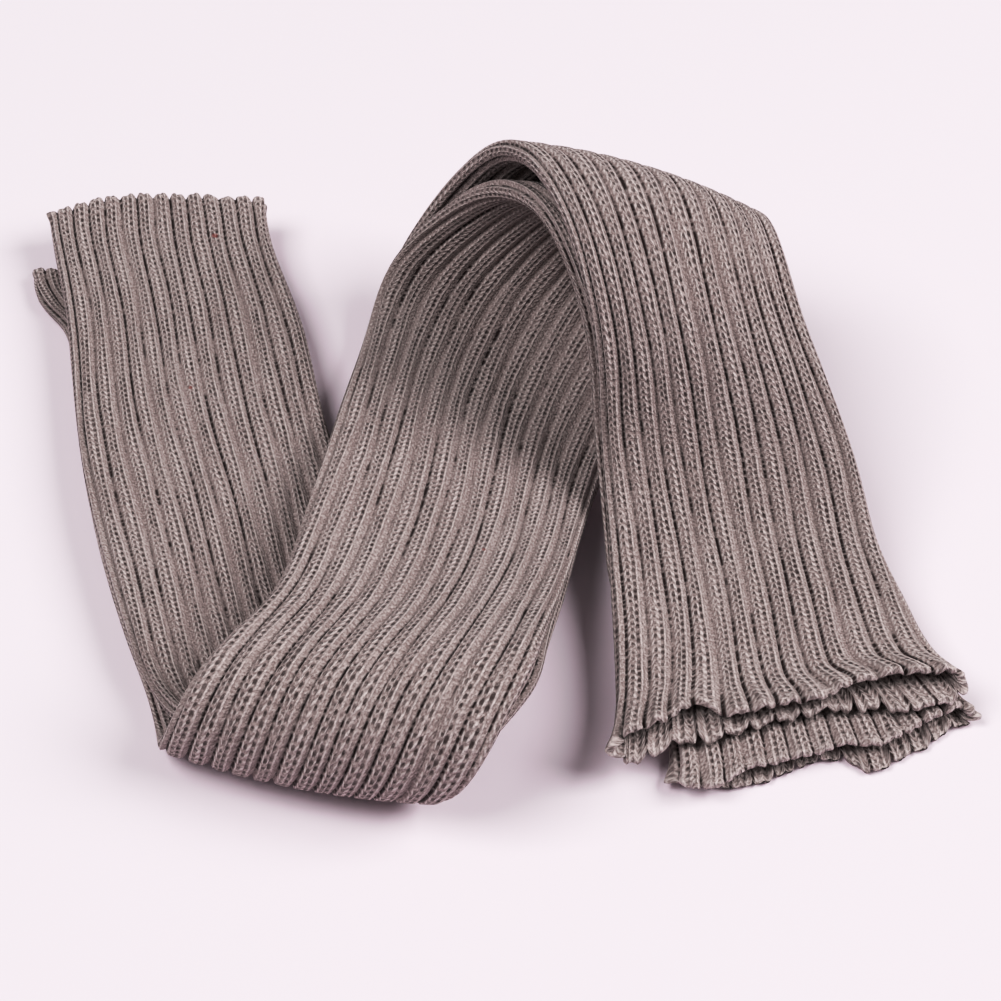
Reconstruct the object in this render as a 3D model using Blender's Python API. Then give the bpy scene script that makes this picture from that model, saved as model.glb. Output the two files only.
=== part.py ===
"""A pair of footless thigh-high socks (leg warmers), stacked and laid in an accordion of two folds.

Each sock is one through tube of ribbed knit, flattened. Both follow one path: a left stretch flat on
the floor, a tight fold, a middle stretch laid back over it, an open arch, and a right stretch down
to the floor. The path is the surface where the two socks meet. Sizes are in millimetres.
"""

import math
from collections import namedtuple

import bmesh
import bpy
import numpy as np

# ---- sizes ----
RIBS = 28  # ribs round one sock
TUBE = 7.0  # a flattened sock, through both walls
KNIT = 2.0  # cloth under the ribs
RIB = 0.9  # height of a rib over the cloth
CLEAR = 1.0  # space between the two socks
STATIONS = 47  # rings along a sock
TURN = 16.0  # degrees of bend that count as much as ...
REACH = 26.0  # ... this much length, when the rings are spread
NORMALS = 9  # places across the path where its direction is worked out
FLAT_BELOW = 1.25  # outer points this near the floor lie on it

# ---- ruffled ends ----
RUFFLE = 1.0  # how far each rib waves in and out at an end
FACING_SHARE = 0.5  # how much of that wave the two facing walls have
SCALLOP = 2.0  # how far its tip runs past the valley beside it
FAR_END = 0.5  # size of the far end's ruffle against the near one's
MOUTH = 1.2  # how much thicker the sock is at an end
THINNER = 0.25  # how much thinner the wall is at an end
FLARE_OVER = 16.0  # length of the flare
EDGE_OVER = 40.0  # length over which an edge's own line fades into the plain end
END_RINGS = 2.4  # rings added over each flare
UNEVEN = 0.35  # how far one rib's wave differs from the next
UNEVEN_STEP = 3.0  # radians of that difference from one ring point to the next
SOFTER = 0.6  # how much of a rib's height is lost in its ruffle
LEAN = 0.35  # how far an end's outer wall draws back, for each millimetre off the middle of the sock
SHIFT_OVER = 60.0  # length over which one sock's end wanders from the path

Section = namedtuple("Section", "left right bow gap_left gap_right tuck")
# left, right: the path's two edges. bow: rise of its middle toward the upper sock. gaps: slack between
# the socks, over CLEAR. tuck: how far the upper sock's left edge stands back from the path's.
PATH = [
    # left stretch, from its far end
    Section((-160, 235, 8.6), (-84, 240, 8.6), 0, 0.4, 0.4, 0),
    Section((-157, 220, 8.2), (-80.5, 224, 8.2), 0, 0.2, 0.2, 0),
    Section((-151, 194, 7.4), (-71, 196, 7.4), 0, 0, 0, 0),
    Section((-143, 149, 7.4), (-60, 149, 7.4), 0, 0, 0, 0),
    Section((-134, 106, 7.4), (-47, 102, 7.4), 0, 0, 0, 0),
    Section((-121, 64, 7.4), (-35, 54, 7.4), 0, 0, 0, 0),
    Section((-114, 45, 7.4), (-29, 31, 7.4), 0, 0, 0, 0),
    # first fold: bottom, front and top
    Section((-107, 27, 7.4), (-24, 9, 7.4), -1, 0, 0, 2),
    Section((-103.5, 18.5, 11.2), (-18.5, -2, 13), -3, 0, 0, 4),
    Section((-99, 15, 19.5), (-9, -7.5, 26), -4, 0, 0, 5),
    Section((-93, 18.5, 27.8), (0.5, -2.5, 40), -3, 0, 0, 4),
    Section((-86, 28, 31.2), (8.5, 9.5, 45.5), -1, 0, 0, 2),
    # middle stretch
    Section((-72, 49, 29), (14, 32, 38), 0, 0, 0, 0),
    Section((-64, 77, 26), (20, 60, 25), 0, 0, 0, 0),
    Section((-58, 110, 24), (26, 90, 14), 0, 0, 0, 0),
    Section((-52, 149, 15), (34, 122, 8), 0, 0, 0, 0),
    Section((-45, 186, 9), (48, 156, 8), 0, 0, 0, 0),
    # second fold: up the back of the arch, over its crest and down its front
    Section((-37, 206, 22), (63, 183, 15), 0, 1, 0, 0),
    Section((-22, 211, 43), (75, 193, 34), 2, 3, 1, 0),
    Section((-4, 201, 67), (84, 186, 52), 4, 5, 2, 0),
    Section((11, 179, 79), (88, 166, 59), 5, 6, 3, 0),
    Section((20, 157, 76), (95, 145, 53), 3, 6, 2, 2),
    Section((27, 137, 59), (106, 126, 41), 1, 4, 1, 3),
    Section((30, 119, 36), (115, 107, 27), 0, 1, 0, 2),
    # right stretch, to its near end
    Section((33, 94, 18), (120, 87, 16), 0, 0, 0, 1),
    Section((35, 62, 9), (128, 66, 8.5), 0, 0, 0, 0),
    Section((35, 36, 7.7), (134, 49, 7.7), 0, 0, 0, 0),
    Section((33, 14, 8.7), (143, 35, 8.7), 0, 0.4, 0.4, 0),
]

Edge = namedtuple("Edge", "turn push rise")
# The line of a ruffled end. turn: place round the sock, 0 to 0.5 along the outward wall from left to
# right and 0.5 to 1 back along the wall that faces the other sock. push: how far the edge runs past
# the plain end. rise: how far it stands off the sock's middle.
UPPER_FAR_EDGE = [
    Edge(0.0, 1, 0), Edge(0.08, 4.5, 0), Edge(0.16, 7, 0), Edge(0.27, 5, 0), Edge(0.37, 3.5, 0),
    Edge(0.49, 1, 0), Edge(0.6, 0, 0), Edge(0.9, 0, 0),
]
UPPER_NEAR_EDGE = [
    Edge(0.06, 1, 0), Edge(0.1, -3, -0.6), Edge(0.14, 4, 0), Edge(0.2, 2.5, 0), Edge(0.26, 3, 0),
    Edge(0.31, 0, 0.8), Edge(0.37, -1, 1.5), Edge(0.42, 0, 0.8), Edge(0.47, 2, 0), Edge(0.53, 5, 0),
    Edge(0.57, 5, 0), Edge(0.61, 0.5, 0), Edge(0.7, 0.5, 0), Edge(0.77, 1.5, 0), Edge(0.82, 3.5, 0),
    Edge(0.87, 3, 0), Edge(0.92, 7, 0), Edge(0.96, 7.5, 0),
]
LOWER_FAR_EDGE = [
    Edge(0.0, 3, 0), Edge(0.1, 0, 0), Edge(0.5, 0, 0), Edge(0.86, 0, 0), Edge(0.93, 1, 0), Edge(0.97, 6, 0),
]
LOWER_NEAR_EDGE = [
    Edge(0.02, 3, 0), Edge(0.065, 8, 0), Edge(0.125, 7.5, 0), Edge(0.155, 5, 0), Edge(0.245, 6, 0),
    Edge(0.275, 14, 0), Edge(0.34, 10, 0), Edge(0.38, 7.5, 0), Edge(0.425, 5, 0), Edge(0.47, 3, 0),
    Edge(0.5, -2, 0), Edge(0.59, 2.5, 0), Edge(0.64, 6.5, 0), Edge(0.69, 2, 0), Edge(0.74, 3, 0),
    Edge(0.84, 3, 0), Edge(0.9, 7, 0), Edge(0.94, 4, 0), Edge(0.985, -2, 0),
]

Sock = namedtuple("Sock", "name side start_left start_right end_left end_right far_edge near_edge")
# side: +1 lies on top of the path in both flat stretches. The four shifts move the corners of the
# sock's ends off the path, in x and y.
SOCKS = [
    Sock("sock_upper", 1, (0, 0), (0, 0), (0, 0), (0, 0), UPPER_FAR_EDGE, UPPER_NEAR_EDGE),
    Sock("sock_lower", -1, (-6, -23), (-5, -20), (19, -9), (3, -4), LOWER_FAR_EDGE, LOWER_NEAR_EDGE),
]
COLOURS = {"sock_upper": (0.27, 0.22, 0.2), "sock_lower": (0.25, 0.205, 0.185)}


def spline(knots, rows, at):
    """Natural cubic spline through rows, read at the given places."""
    step = np.diff(knots)
    size = len(knots)
    system = np.eye(size)
    target = np.zeros((size, rows.shape[1]))
    for i in range(1, size - 1):
        system[i, i - 1 : i + 2] = step[i - 1], 2 * (step[i - 1] + step[i]), step[i]
        rise = (rows[i + 1] - rows[i]) / step[i] - (rows[i] - rows[i - 1]) / step[i - 1]
        target[i] = 6 * rise
    bend = np.linalg.solve(system, target)
    low = np.clip(np.searchsorted(knots, at) - 1, 0, size - 2)
    width = step[low][:, None]
    a = (knots[low + 1] - at)[:, None] / width
    b = 1 - a
    straight = a * rows[low] + b * rows[low + 1]
    return straight + ((a**3 - a) * bend[low] + (b**3 - b) * bend[low + 1]) * width**2 / 6


def unit(v):
    return v / np.linalg.norm(v, axis=-1, keepdims=True)


def running(points):
    """Length along a line of points, from its start."""
    return np.concatenate([[0], np.cumsum(np.linalg.norm(np.diff(points, axis=0), axis=1))])


def path_rows():
    rows = np.array([[*s.left, *s.right, *s[2:]] for s in PATH], float)
    knots = (running(rows[:, 0:3]) + running(rows[:, 3:6])) / 2
    return knots, rows


def stations():
    """Places along the path, closer together where it bends."""
    knots, rows = path_rows()
    fine = np.linspace(0, knots[-1], 1500)
    c = spline(knots, rows, fine)
    effort = np.zeros(len(fine))
    for edge in (c[:, 0:3], c[:, 3:6]):
        along = unit(np.gradient(edge, axis=0))
        turned = np.degrees(np.linalg.norm(np.diff(along, axis=0), axis=1))
        travelled = np.linalg.norm(np.diff(edge, axis=0), axis=1)
        effort[1:] += np.cumsum(turned / TURN + travelled / REACH)
    # the flares at the ends need rings of their own
    effort += END_RINGS * (ease(fine / FLARE_OVER) - ease((knots[-1] - fine) / FLARE_OVER))
    even = np.linspace(effort[0], effort[-1], STATIONS)
    return knots, rows, np.interp(even, effort, fine)


def ease(x):
    """0 to 1, smooth at both ends."""
    x = np.clip(x, 0, 1)
    return x * x * (3 - 2 * x)


class Path:
    """The surface between the socks at each station, and each sock's own version of it."""

    def __init__(self, sock):
        knots, rows, at = stations()
        c = spline(knots, rows, at)
        length = knots[-1]
        near_start = 1 - ease(at / SHIFT_OVER)
        near_end = 1 - ease((length - at) / SHIFT_OVER)
        self.left = c[:, 0:3].copy()
        self.right = c[:, 3:6].copy()
        for edge, start, end in (
            (self.left, sock.start_left, sock.end_left),
            (self.right, sock.start_right, sock.end_right),
        ):
            for axis in (0, 1):
                edge[:, axis] += near_start * start[axis] + near_end * end[axis]
        self.bow = c[:, 6]
        self.gaps = np.clip(c[:, 7:9], 0, None)
        self.tuck = np.clip(c[:, 9], 0, None) * (sock.side > 0)
        to_end = np.minimum(at, length - at)
        self.flare = 1 - ease(to_end / FLARE_OVER)
        self.edge = 1 - ease(to_end / EDGE_OVER)
        self.width = np.linalg.norm(self.right - self.left, axis=1)
        across = np.linspace(0, 1, NORMALS)
        grid = self.base(across)
        ahead = np.gradient(grid, axis=0)
        sideways = np.gradient(grid, axis=1)
        self.across = across
        self.normals = unit(np.cross(ahead, sideways))
        self.ahead = unit(ahead.mean(axis=1))

    def base(self, share):
        """Points of the path at these shares of its width."""
        f = np.asarray(share)[None, :, None]
        grid = self.left[:, None] * (1 - f) + self.right[:, None] * f
        chord = self.right - self.left
        ahead = np.gradient((self.left + self.right) / 2, axis=0)
        up = unit(np.cross(ahead, chord))[:, None]
        return grid + up * self.bow[:, None, None] * (4 * f * (1 - f))

    def point(self, i, share, lift):
        """One point at station i: share of the width, and how far off the path."""
        f = min(max(share, 0.0), 1.0)
        p = self.left[i] * (1 - share) + self.right[i] * share
        j = min(int(f * (NORMALS - 1)), NORMALS - 2)
        part = f * (NORMALS - 1) - j
        n = self.normals[i, j] * (1 - part) + self.normals[i, j + 1] * part
        n = n / np.linalg.norm(n)
        return p + n * (lift + self.bow[i] * 4 * f * (1 - f))


def stadium(turn, width, thick):
    """A point round a flat ring: (across, lift, outward across, outward lift). turn runs 0 to 1."""
    straight = width - thick
    r = thick / 2
    total = 2 * straight + math.pi * thick
    d = (turn % 1.0) * total
    if d < straight:
        return r + d, r, 0.0, 1.0
    d -= straight
    if d < math.pi * r:
        a = d / r
        return width - r + r * math.sin(a), r * math.cos(a), math.sin(a), math.cos(a)
    d -= math.pi * r
    if d < straight:
        return width - r - d, -r, 0.0, -1.0
    a = (d - straight) / r
    return r - r * math.sin(a), -r * math.cos(a), -math.sin(a), -math.cos(a)


def edge_line(edge, turn):
    """Push and rise of an end's line at one turn round the sock."""
    turns, push, rise = np.array(edge, float).T
    return [np.interp(turn, turns, values, period=1) for values in (push, rise)]


def rings(sock):
    """Outer and inner points at each station, RIBS * 2 each: even ones on a rib, odd ones between."""
    path = Path(sock)
    count = RIBS * 2
    last = STATIONS - 1
    outer = np.zeros((STATIONS, count, 3))
    inner = np.zeros((STATIONS, count, 3))
    for i in range(STATIONS):
        flare = path.flare[i]
        thick = TUBE + MOUTH * flare
        whole = path.width[i]
        tuck = path.tuck[i]
        near = i > last / 2
        heading = 1 if near else -1
        size = 1 if near else FAR_END
        for k in range(count):
            crest = 1 if k % 2 == 0 else -1
            turn = (k + 0.5) / count
            across, lift, out_x, out_y = stadium(turn, whole - tuck, thick)
            across += tuck
            push, rise = edge_line(sock.near_edge if near else sock.far_edge, turn)
            facing = max(-out_y, 0)
            wave = crest * RUFFLE * (1 - (1 - FACING_SHARE) * facing)
            wave = size * flare * (wave + UNEVEN * math.sin(UNEVEN_STEP * k + heading))
            drop = 0.0 if crest > 0 else RIB * (1 - SOFTER * flare)
            depth = (KNIT + RIB) * (1 - THINNER * flare)
            tip = flare * (size * SCALLOP * 0.5 * crest - LEAN * lift) + path.edge[i] * push
            slack = path.gaps[i, 0] * (1 - across / whole) + path.gaps[i, 1] * across / whole
            middle = CLEAR / 2 + thick / 2 + slack * (sock.side > 0) + RUFFLE * FACING_SHARE * flare
            for store, sink in ((outer, drop), (inner, depth)):
                x = (across + out_x * (wave - sink)) / whole
                y = sock.side * (middle + lift + rise * flare + out_y * (wave - sink))
                store[i, k] = path.point(i, x, y) + path.ahead[i] * tip * heading
    floor = outer[:, :, 2] < FLAT_BELOW
    outer[:, :, 2] = np.where(floor, 0.0, outer[:, :, 2])
    inner[:, :, 2] = np.maximum(inner[:, :, 2], KNIT * (1 - THINNER))
    return outer, inner


def joined(mesh, first, second, flip):
    """Faces between two closed rings, of which one may have half as many points as the other."""
    a, b = len(first), len(second)
    if a < b:
        return joined(mesh, second, first, not flip)
    for k in range(a):
        if a == b:
            loop = [first[k], first[(k + 1) % a], second[(k + 1) % b], second[k]]
            faces = [loop]
        elif k % 2 == 0:
            faces = [[first[k], first[(k + 1) % a], second[k // 2]]]
        else:
            here, ahead = second[k // 2], second[(k // 2 + 1) % b]
            faces = [[first[k], first[(k + 1) % a], ahead], [first[k], ahead, here]]
        for loop in faces:
            mesh.faces.new(loop[::-1] if flip else loop)


def sock_mesh(sock, outer, inner):
    mesh = bmesh.new()

    def ring(points):
        return [mesh.verts.new(p / 1000) for p in points]

    outside = [ring(points) for points in outer]
    inside = []
    for i, points in enumerate(inner):
        mouth = i < 2 or i > STATIONS - 3
        inside.append(ring(points if mouth else points[::2]))
    turned = sock.side < 0
    for i in range(STATIONS - 1):
        joined(mesh, outside[i], outside[i + 1], turned)
        joined(mesh, inside[i], inside[i + 1], not turned)
    joined(mesh, outside[0], inside[0], not turned)
    joined(mesh, outside[-1], inside[-1], turned)
    bmesh.ops.recalc_face_normals(mesh, faces=mesh.faces)
    made = bpy.data.meshes.new(sock.name)
    mesh.to_mesh(made)
    mesh.free()
    return made


def knit(name):
    material = bpy.data.materials.new("knit_" + name)
    material.use_nodes = True
    shader = material.node_tree.nodes["Principled BSDF"]
    shader.inputs["Base Color"].default_value = (*COLOURS[name], 1)
    shader.inputs["Roughness"].default_value = 0.92
    shader.inputs["Sheen Weight"].default_value = 0.15
    return material


def main():
    for old in list(bpy.data.objects):
        bpy.data.objects.remove(old, do_unlink=True)
    built = [rings(sock) for sock in SOCKS]
    every = np.concatenate([outer.reshape(-1, 3) for outer, _ in built])
    middle = (every.min(axis=0) + every.max(axis=0)) / 2
    middle[2] = 0
    for sock, (outer, inner) in zip(SOCKS, built):
        mesh = sock_mesh(sock, outer - middle, inner - middle)
        piece = bpy.data.objects.new(sock.name, mesh)
        bpy.context.scene.collection.objects.link(piece)
        mesh.materials.append(knit(sock.name))
        mesh.shade_smooth()


main()
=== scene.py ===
"""A pair of footless thigh-high rib-knit socks, stacked and laid in two folds, for Blender 4.5.

Each sock is one closed wall of knit, moved from a grid onto the same path as its CAD solid and cut much
finer. The ribs and ruffles are in the mesh; the stitches are in the material, on the sock's own UV map:
U counts ribs round the sock and V counts courses along it. Sizes are in millimetres until a mesh is made.
"""

import math
from collections import namedtuple

import bmesh
import bpy
import numpy as np
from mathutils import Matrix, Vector


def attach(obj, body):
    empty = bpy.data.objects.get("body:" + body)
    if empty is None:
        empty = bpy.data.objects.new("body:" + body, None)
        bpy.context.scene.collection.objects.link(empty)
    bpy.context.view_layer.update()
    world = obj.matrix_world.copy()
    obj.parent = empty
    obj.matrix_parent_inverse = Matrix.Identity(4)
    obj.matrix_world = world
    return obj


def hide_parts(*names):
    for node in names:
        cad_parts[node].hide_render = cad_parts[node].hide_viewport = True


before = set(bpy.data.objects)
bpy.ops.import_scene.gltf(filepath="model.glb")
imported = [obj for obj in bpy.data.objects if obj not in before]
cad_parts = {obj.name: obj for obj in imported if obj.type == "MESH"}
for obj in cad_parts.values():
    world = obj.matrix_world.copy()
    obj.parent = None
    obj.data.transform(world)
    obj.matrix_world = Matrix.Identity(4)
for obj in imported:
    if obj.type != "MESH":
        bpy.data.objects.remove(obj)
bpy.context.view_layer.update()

MM = 0.001

# ---- sizes that the socks share with their solids ----
RIBS = 28  # ribs round one sock
TUBE = 7.0  # a flattened sock, through both walls
WALL = 2.9  # knit and rib together
CLEAR = 1.0  # space between the two socks
MIDDLE = (-9.86, 113.95, 0)  # where the model's origin lies on the path's plan
FLARE_OVER = 16.0  # length of the flare at an end
SHIFT_OVER = 60.0  # length over which one sock's end wanders from the path
MOUTH = 1.2  # how much thicker the sock is at an end
LEAN = 0.35  # how far an end's outer wall draws back, for each millimetre off the sock's middle
EDGE_OVER = 40.0  # length over which an edge's own line fades into the plain end
FACING_SHARE = 0.5  # how much of the ruffle's wave the two facing walls have

# ---- knit ----
COURSE = 2.35  # one row of stitches
RIB = 1.35  # height of a rib over the valley beside it
RIB_GROWS = 0.3  # how much of that height a rib gains where its valley closes
CREST = 0.24  # share of a rib, from its middle, that is level
FOOT = 0.44  # and where its side meets the valley
CLOSE = 0.25  # how much of its own width a rib gains where its valley closes
RUFFLE = 1.0  # how far each rib waves in and out at an end
FRILL = 1.2  # and how far the narrow pleats of its last few millimetres do
FRILL_OVER = 8.0  # length of those pleats
FRILL_WAVES = 43  # pleats round the sock
SCALLOP = 1.1  # how far a rib's tip runs past the valley beside it
SCALLOP_MEAN = 0.6  # mean height of a scallop's curve, taken off so that an end keeps its length
FRAY = 0.5  # how far each of the two wales on a rib runs past its end
FAR_END = 0.35  # size of the far end's ruffle against the near one's
CURL = 0.7  # how far the knit rolls outward beside a cut edge
CURL_OVER = 4.0  # length of that roll
RIM = 2.5  # length of fuzzy knit beside the cut edge
THINNER = 0.2  # how much thinner the wall is at an end
LIP_BULGE = 1.0  # how round the cut edge is
LIP_LENGTH = 3.0  # length of knit over it
PITCH = 6.1  # width of a rib, on average
CREASE = 1.1  # depth of the deepest long crease
LEAST_WALL = 0.5  # what a valley or a crease always leaves of the wall

# ---- unevenness of the ruffled ends ----
UNEVEN_RUFFLE = 0.5  # how far the ruffle's size differs round the sock
STRAY_RUFFLE = 0.4  # how far it strays from the ribs' own wave
UNEVEN_PLEATS = 0.5  # how far the narrow pleats crowd and spread
CALMER_OUTSIDE = 0.25  # how much smaller they are on the outward wall
UNEVEN_FRAY = 0.6  # how far the frayed wales differ
STRAY_TIP = 0.6  # how far the cut edge wanders along the sock
SOFTER_END = 0.25  # how much of a rib's height is lost in its ruffle

# ---- height over the floor that a sock's points keep ----
LOWEST = {"sock_upper": 0.4, "sock_lower": 0.02}
LOWEST_INSIDE = 1.6  # how much more the inside of its wall keeps

# ---- stitches, whose lines lie across a rib from 0 to 1, the valleys beside it ----
Leg = namedtuple("Leg", "line width slant beads strength")
# width is from a leg's middle, in ribs. slant: courses by which it leans over that width. beads: from 0
# for a smooth leg to 1 for a row of round beads.
LEANING_LEG = Leg(0.22, 0.072, -0.34, 0.75, 1.0)
BEADED_LEG = Leg(0.45, 0.075, 0.34, 0.75, 1.0)
SMOOTH_LEG = Leg(0.69, 0.062, 0.3, 0.35, 0.85)
OUTER_LEG = Leg(0.85, 0.07, 0.2, 0.8, 0.6)
LEG_LEAST = 0.65  # strength of the faintest stitch
LEG_MORE = 0.45  # and what chance adds to it
Hole = namedtuple("Hole", "line width length least more")
# width, in ribs, and length, in courses, are from a hole's middle. least: strength of the faintest
# hole. more: what chance adds to it.
DEEP_HOLES = Hole(0.565, 0.045, 0.23, 0.55, 0.5)
FAINT_HOLES = Hole(0.335, 0.042, 0.21, 0.25, 0.65)
HOLE_LONGER = 0.14  # courses that chance adds to a hole's length
GROOVE = 0.06  # the groove that the deep holes lie in, from its middle
CRACK = 0.03  # where the painted shade line at a valley's bottom lies
CRACK_WIDTH = 0.035  # from its middle
CRACK_WIDENS = 0.055  # what it gains where the valley closes
CRACK_LEAST = 0.25  # strength of the faintest part of it
SWAY = 0.07  # how far the lines wander across a rib
CRACK_SWAY = 0.05
AHEAD = 0.8  # courses by which one rib's stitches may run ahead of the next one's

# Where a shape fades out and where it is whole, in shares of its half width; a hole's are squared.
SOFT_LEG = (1.3, 0.25)
SOFT_HOLE = (1.8, 0.2)
SOFT_CRACK = (1.1, 0.2)

# What each adds to the relief or takes from it, where 1 is RELIEF millimetres.
RELIEF = 0.55
WALE_RISE = 0.75
PURL_RISE = 0.4
FIBRE_RISE = 0.25
HOLE_DROP = 0.9
GROOVE_DROP = 0.25
CRACK_DROP = 0.9

# ---- mesh ----
SEEN_COLUMNS = 10  # columns on a rib of the wall that faces out
HIDDEN_COLUMNS = 8  # and on one that faces the other sock
SEEN_RIBS = 18  # the outward wall with both rounded sides
FIRST_RIB = -2  # where the grid's seam runs, under the left side
WALL_START = 0.25  # where the outward wall starts at its left side, in ribs from the first valley
OUTER_ROWS = 300  # rows along the outer wall
END_ROWS = 27  # of them, in each end
END_LENGTH = 18.0
INNER_ROWS = 64  # rows along the inner wall
INNER_END_ROWS = 12
LIP_ROWS = 6  # rows over a cut edge
NORMALS = 33  # places across the path where its direction is worked out
SEWN = 0.000001  # points nearer than this, in metres, become one

Section = namedtuple("Section", "left right bow gap_left gap_right tuck")
# left, right: the path's two edges. bow: rise of its middle toward the upper sock. gaps: slack between
# the socks, over CLEAR. tuck: how far the upper sock's left edge stands back from the path's.
PATH = [
    # left stretch, from its far end
    Section((-160, 235, 8.6), (-84, 240, 8.6), 0, 0.4, 0.4, 0),
    Section((-157, 220, 8.2), (-80.5, 224, 8.2), 0, 0.2, 0.2, 0),
    Section((-151, 194, 7.4), (-71, 196, 7.4), 0, 0, 0, 0),
    Section((-143, 149, 7.4), (-60, 149, 7.4), 0, 0, 0, 0),
    Section((-134, 106, 7.4), (-47, 102, 7.4), 0, 0, 0, 0),
    Section((-121, 64, 7.4), (-35, 54, 7.4), 0, 0, 0, 0),
    Section((-114, 45, 7.4), (-29, 31, 7.4), 0, 0, 0, 0),
    # first fold: bottom, front and top
    Section((-107, 27, 7.4), (-24, 9, 7.4), -1, 0, 0, 2),
    Section((-103.5, 18.5, 11.2), (-18.5, -2, 13), -3, 0, 0, 4),
    Section((-99, 15, 19.5), (-9, -7.5, 26), -4, 0, 0, 5),
    Section((-93, 18.5, 27.8), (0.5, -2.5, 40), -3, 0, 0, 4),
    Section((-86, 28, 31.2), (8.5, 9.5, 45.5), -1, 0, 0, 2),
    # middle stretch
    Section((-72, 49, 29), (14, 32, 38), 0, 0, 0, 0),
    Section((-64, 77, 26), (20, 60, 25), 0, 0, 0, 0),
    Section((-58, 110, 24), (26, 90, 14), 0, 0, 0, 0),
    Section((-52, 149, 15), (34, 122, 8), 0, 0, 0, 0),
    Section((-45, 186, 9), (48, 156, 8), 0, 0, 0, 0),
    # second fold: up the back of the arch, over its crest and down its front
    Section((-37, 206, 22), (63, 183, 15), 0, 1, 0, 0),
    Section((-22, 211, 43), (75, 193, 34), 2, 3, 1, 0),
    Section((-4, 201, 67), (84, 186, 52), 4, 5, 2, 0),
    Section((11, 179, 79), (88, 166, 59), 5, 6, 3, 0),
    Section((20, 157, 76), (95, 145, 53), 3, 6, 2, 2),
    Section((27, 137, 59), (106, 126, 41), 1, 4, 1, 3),
    Section((30, 119, 36), (115, 107, 27), 0, 1, 0, 2),
    # right stretch, to its near end
    Section((33, 94, 18), (120, 87, 16), 0, 0, 0, 1),
    Section((35, 62, 9), (128, 66, 8.5), 0, 0, 0, 0),
    Section((35, 36, 7.7), (134, 49, 7.7), 0, 0, 0, 0),
    Section((33, 14, 8.7), (143, 35, 8.7), 0, 0.4, 0.4, 0),
]

Edge = namedtuple("Edge", "turn push rise")
# The line of a ruffled end. turn: place round the sock, 0 to 0.5 along the outward wall from left to
# right and 0.5 to 1 back along the wall that faces the other sock. push: how far the edge runs past
# the plain end. rise: how far it stands off the sock's middle.
UPPER_FAR_EDGE = [
    Edge(0.0, 1, 0), Edge(0.08, 4.5, 0), Edge(0.16, 7, 0), Edge(0.27, 5, 0), Edge(0.37, 3.5, 0),
    Edge(0.49, 1, 0), Edge(0.6, 0, 0), Edge(0.9, 0, 0),
]
UPPER_NEAR_EDGE = [
    Edge(0.06, 1, 0), Edge(0.1, -3, -0.6), Edge(0.14, 4, 0), Edge(0.2, 2.5, 0), Edge(0.26, 3, 0),
    Edge(0.31, 0, 0.8), Edge(0.37, -1, 1.5), Edge(0.42, 0, 0.8), Edge(0.47, 2, 0), Edge(0.53, 5, 0),
    Edge(0.57, 5, 0), Edge(0.61, 0.5, 0), Edge(0.7, 0.5, 0), Edge(0.77, 1.5, 0), Edge(0.82, 3.5, 0),
    Edge(0.87, 3, 0), Edge(0.92, 7, 0), Edge(0.96, 7.5, 0),
]
LOWER_FAR_EDGE = [
    Edge(0.0, 5, 0), Edge(0.05, 1, 0), Edge(0.1, 0, 0), Edge(0.5, 0, 0), Edge(0.88, 0, 0), Edge(0.94, 2, 0),
    Edge(0.975, 8, 0),
]
LOWER_NEAR_EDGE = [
    Edge(0.02, 3, 0), Edge(0.065, 8, 0), Edge(0.125, 7.5, 0), Edge(0.155, 5, 0), Edge(0.245, 6, 0),
    Edge(0.275, 14, 0), Edge(0.34, 10, 0), Edge(0.38, 7.5, 0), Edge(0.425, 5, 0), Edge(0.47, 3, 0),
    Edge(0.5, -2, 0), Edge(0.59, 2.5, 0), Edge(0.64, 6.5, 0), Edge(0.69, 2, 0), Edge(0.74, 3, 0),
    Edge(0.84, 3, 0), Edge(0.9, 7, 0), Edge(0.94, 4, 0), Edge(0.985, -2, 0),
]

Crease = namedtuple("Crease", "valley start end deep")
# The long creases: the valley each one follows, counted in ribs from the left side of the outward wall,
# where it starts and ends along the sock, and its depth, 0 to 1.
UPPER_CREASES = [
    Crease(2, 0, 60, 0.5), Crease(8, 20, 110, 0.5), Crease(13, 0, 70, 0.8), Crease(0, 40, 120, 0.7),
    Crease(0, 530, 620, 0.8), Crease(1, 560, 660, 0.9), Crease(2, 520, 590, 0.6), Crease(4, 530, 610, 0.7),
    Crease(8, 640, 700, 0.5), Crease(12, 530, 590, 0.7), Crease(13, 580, 650, 0.6),
]
LOWER_CREASES = [
    Crease(1, 225, 320, 0.9), Crease(2, 215, 290, 0.6), Crease(3, 235, 320, 0.8), Crease(5, 230, 290, 0.6),
    Crease(7, 240, 300, 0.5), Crease(9, 235, 285, 0.5), Crease(12, 250, 320, 0.6), Crease(5, 355, 400, 0.5),
]

Fleck = namedtuple("Fleck", "rib place across")
# Specks of red fibre spun into the yarn.
UPPER_FLECKS = [Fleck(9.4, 14, 1.9), Fleck(6.3, 86, 1.2)]
LOWER_FLECKS = [Fleck(8.6, 340, 1.0)]

Sock = namedtuple(
    "Sock",
    "node name side start_left start_right end_left end_right far_edge near_edge creases flecks phase",
)
# side: +1 lies on top of the path in both flat stretches. The four shifts move the corners of the
# sock's ends off the path, in x and y. phase sets one sock's unevenness apart from the other's.
SOCKS = [
    Sock("sock_upper", "knit_sock_upper", 1, (0, 0), (0, 0), (0, 0), (0, 0),
         UPPER_FAR_EDGE, UPPER_NEAR_EDGE, UPPER_CREASES, UPPER_FLECKS, 0.0),
    Sock("sock_lower", "knit_sock_lower", -1, (-4, -22), (-5, -20), (19, -9), (3, -4),
         LOWER_FAR_EDGE, LOWER_NEAR_EDGE, LOWER_CREASES, LOWER_FLECKS, 2.1),
]

Closing = namedtuple("Closing", "place amount")
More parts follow.
